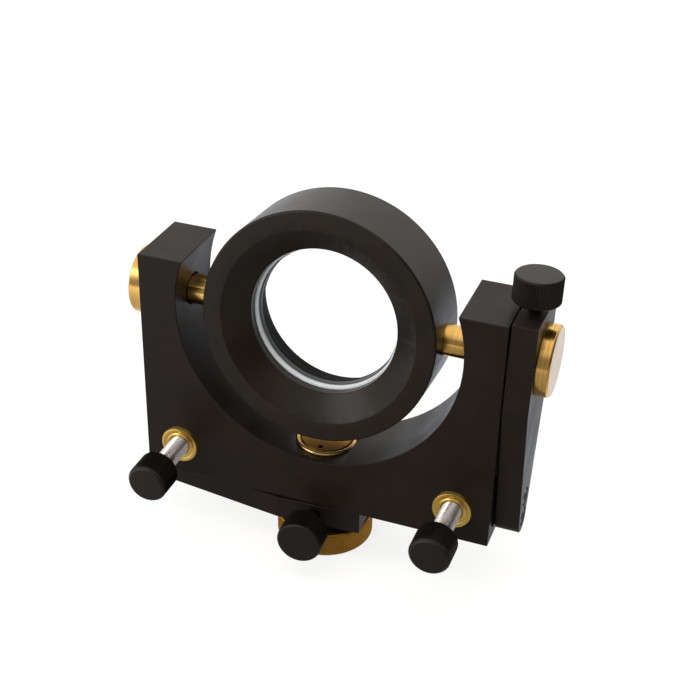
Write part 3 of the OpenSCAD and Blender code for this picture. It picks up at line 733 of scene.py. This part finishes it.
def flangedBush(nodeName, origin, axis, settings, material):
    along, radius = aboutAxis(nodeName, origin, axis)
    low, high, bore, outer = turnedSpan(nodeName, origin, axis)
    near = 0.1 * mm
    tube = radius[along < low + near].max()       # outside of the tube, from the points at its end
    wall = along[radius > outer - near].min()     # back of the flange, from the points at its edge
    mouth, collar, groove, rim, drop = (settings[key] * mm for key in
                                        ("mouthBevel", "collarWidth", "grooveDepth", "rimWidth", "rimLow"))
    inner, lip, bottom = (settings[key] * mm for key in ("mouthRounding", "lipRounding", "grooveRounding"))
    turn = np.linspace(math.pi, 0, settings["rimSteps"])
    rise = settings["rimRise"] * rim / 2
    rimArc = np.stack([outer - rim / 2 + rim / 2 * np.cos(turn),
                       high - drop - rise + rise * np.sin(turn)], axis=1)
    face = roundedOutline([(tube, low, 0), (bore, low, 0), (bore, high - mouth, inner),
                           (bore + mouth, high, lip), (bore + mouth + collar, high, bottom),
                           (bore + mouth + collar + groove, high - groove, bottom),
                           (outer - rim, high - groove, 0)])
    outline = np.vstack([face, rimArc[rimArc[:, 1] > high - groove], [[outer, wall], [tube, wall]]])
    piece = turnedSurface(nodeName + "_turned", outline, origin, axis, settings["steps"], closed=True)
    return finishPiece(piece, nodeName, material)


# Threaded rod: its radius falls by a cosine wave of (height over pitch) less (turn over a full turn),
# which is a right-hand helix
screwSettings = {
    "pitch": 0.3175,        # mm, 80 threads an inch
    "threadDepth": 0.19,    # mm; 0.6 of the pitch
    "tipBevel": 0.35,       # mm
    "rowsPerTurn": 8, "steps": 56,
}


def fineScrew(nodeName, origin, axis, settings, material):
    low, high, _, radius = turnedSpan(nodeName, origin, axis)
    pitch, deep, tip = (settings[key] * mm for key in ("pitch", "threadDepth", "tipBevel"))
    count = int((high - low - 2 * tip) / pitch * settings["rowsPerTurn"])
    outline = np.array([(0, low), (radius - tip, low),
                        *[(radius, h) for h in np.linspace(low + tip, high - tip, count)],
                        (radius - tip, high), (0, high)])

    def groove(angle, blank, height):
        wave = 0.5 - 0.5 * np.cos(2 * math.pi * height / pitch - angle)
        return -deep * wave * (blank > radius - 1e-9)     # the tips stay plain

    piece = turnedSurface(nodeName + "_threaded", outline, origin, axis, settings["steps"], groove)
    return finishPiece(piece, nodeName, material)


# Round wire on a helix: a circle of the wire's radius carried along the coil's middle line.
# It runs at an even pitch over the length of the CAD spring.
springSettings = {"turns": 4.5, "wire": 0.6, "perTurn": 40, "aroundWire": 14}   # wire in mm


def coilSpring(nodeName, origin, axis, settings, material):
    low, high, _, outer = turnedSpan(nodeName, origin, axis)
    wire = settings["wire"] * mm / 2
    share = np.linspace(0, 1, int(settings["turns"] * settings["perTurn"]))[:, None]
    around = np.linspace(0, 2 * math.pi, settings["aroundWire"], endpoint=False)[None, :]
    radius = outer - wire + wire * np.cos(around)
    height = low + wire + (high - low - 2 * wire) * share + wire * np.sin(around)
    grid = ringPoints(origin, axis, radius, height, 2 * math.pi * settings["turns"] * share)
    rows, steps = grid.shape[:2]
    ends = [list(range(steps)), list(range((rows - 1) * steps, rows * steps))]
    piece = finishPiece(gridMesh(nodeName + "_coil", grid, caps=ends), nodeName, material)
    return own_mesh(piece)


# Lapped ball: a half circle turned about the axis through its own middle
ballSettings = {"arcSteps": 25, "steps": 48}


def lappedBall(nodeName, axis, settings, material):
    centre = boxCentre(nodeName)
    radius = turnedSpan(nodeName, centre, axis)[3]
    tilt = np.linspace(-math.pi / 2, math.pi / 2, settings["arcSteps"])
    outline = np.stack([np.abs(radius * np.cos(tilt)), radius * np.sin(tilt)], axis=1)
    outline[[0, -1], 0] = 0
    piece = turnedSurface(nodeName + "_lapped", outline, centre, axis, settings["steps"])
    return finishPiece(piece, nodeName, material)


alongX, alongY, alongZ = np.eye(3)

print("yoke and levers")
anodisedPlate = anodised("blackAnodisedPlate", anodisedSettings)
for name in ("yoke", "pitch_lever", "yaw_lever"):
    deburredCopy(name, anodisedPlate)

print("cell")
cellAxis = unit(mountOf["optic_bore"]["axis"])
cellMiddle = np.array(mountOf["optic_bore"]["pos_m"], float)
ringFront, ringBack = turnedSpan("retaining_ring", cellMiddle, cellAxis)[:2]
ringMiddle = (ringFront + ringBack) / 2
deburredCopy("ring_cell",
             anodised("blackAnodisedCell", cellSettings, cellMiddle, cellAxis, threadFrom=ringBack))
deburredCopy("spacer_ring",
             bareMetal("blastedAluminium", metalSettings["blastedAluminium"], cellMiddle, cellAxis))
deburredCopy("retaining_ring",
             anodised("greyAnodisedRing", greySettings, cellMiddle, cellAxis, threadFrom=ringMiddle))

print("trunnions, bushes, post and washers")
trunnionLine = np.array([0, 0, jointOf["coarse_pitch"]["pos_m"][2]])
trunnionBrass = bareMetal("turnedBrassTrunnion", metalSettings["turnedBrass"], trunnionLine, alongX)
bronze = bareMetal("sinteredBronze", metalSettings["sinteredBronze"])
for name in ("left_trunnion", "right_trunnion"):
    deburredCopy(name, trunnionBrass)
for name in ("trunnion_bush_left", "trunnion_bush_right"):
    deburredCopy(name, bronze)
deburredCopy("pivot_post", bareMetal("turnedBrassPost", metalSettings["postBrass"], (0, 0, 0), alongZ))
deburredCopy("post_bush", bareMetal("spunBrassRim", metalSettings["spunBrass"], (0, 0, 0), alongZ))
washer = bareMetal("stampedSteel", metalSettings["stampedSteel"])
for name in ("pitch_washer", "yaw_washer", "wheel_washer"):
    deburredCopy(name, washer)
footWheel(wheelSettings, bareMetal("knurledBrassWheel", metalSettings["wheelBrass"], (0, 0, 0), alongZ))

print("adjusters")
for side in ("pitch", "yaw"):
    screwPlace = boxCentre(side + "_screw") * (1, 0, 1)     # on the screw's line, at y = 0
    knobRadius = turnedSpan(side + "_knob", screwPlace, alongY)[3]
    flangedBush(side + "_screw_bush", screwPlace, -alongY, bushSettings,
                bareMetal(side + "FlangeBrass", metalSettings["flangeBrass"], screwPlace, alongY))
    fineScrew(side + "_screw", screwPlace, alongY, screwSettings,
              bareMetal(side + "GroundSteel", metalSettings["groundSteel"], screwPlace, alongY))
    knurledKnob(side + "_knob", screwPlace, -alongY, knobSettings,
                anodised(side + "KnobBlack", knobFinishSettings, screwPlace, alongY, ridgeRadius=knobRadius))
    lappedBall(side + "_ball", alongY, ballSettings,
               bareMetal(side + "BallSteel", metalSettings["hardenedSteel"]))
    coilSpring(side + "_spring", screwPlace, alongY, springSettings,
               bareMetal(side + "SpringSteel", metalSettings["springSteel"]))

print("feet, plugs and cap screws")
oxide = blackOxide("blackOxideSteel", blackOxideSettings)
for side in ("pitch", "yaw"):
    for part in ("_foot", "_foot_screws", "_spring_plug"):
        deburredCopy(side + part, oxide)

print("clamps")
for side in ("pitch", "yaw"):
    joint = jointOf[side + "_clamp_turn"]
    start, outward = np.array(joint["pos_m"], float), unit(joint["axis"])
    if turnedSpan(side + "_clamp_knob", start, outward)[0] < 0:     # the knob lies the other way
        outward = -outward
    knobRadius = turnedSpan(side + "_clamp_knob", start, outward)[3]
    knurledKnob(side + "_clamp_knob", start, outward, clampKnobSettings,
                anodised(side + "ClampKnobBlack", knobFinishSettings, start, outward, ridgeRadius=knobRadius))
    deburredCopy(side + "_clamp_screw", oxide)
    deburredCopy(side + "_clamp_slug", bronze)
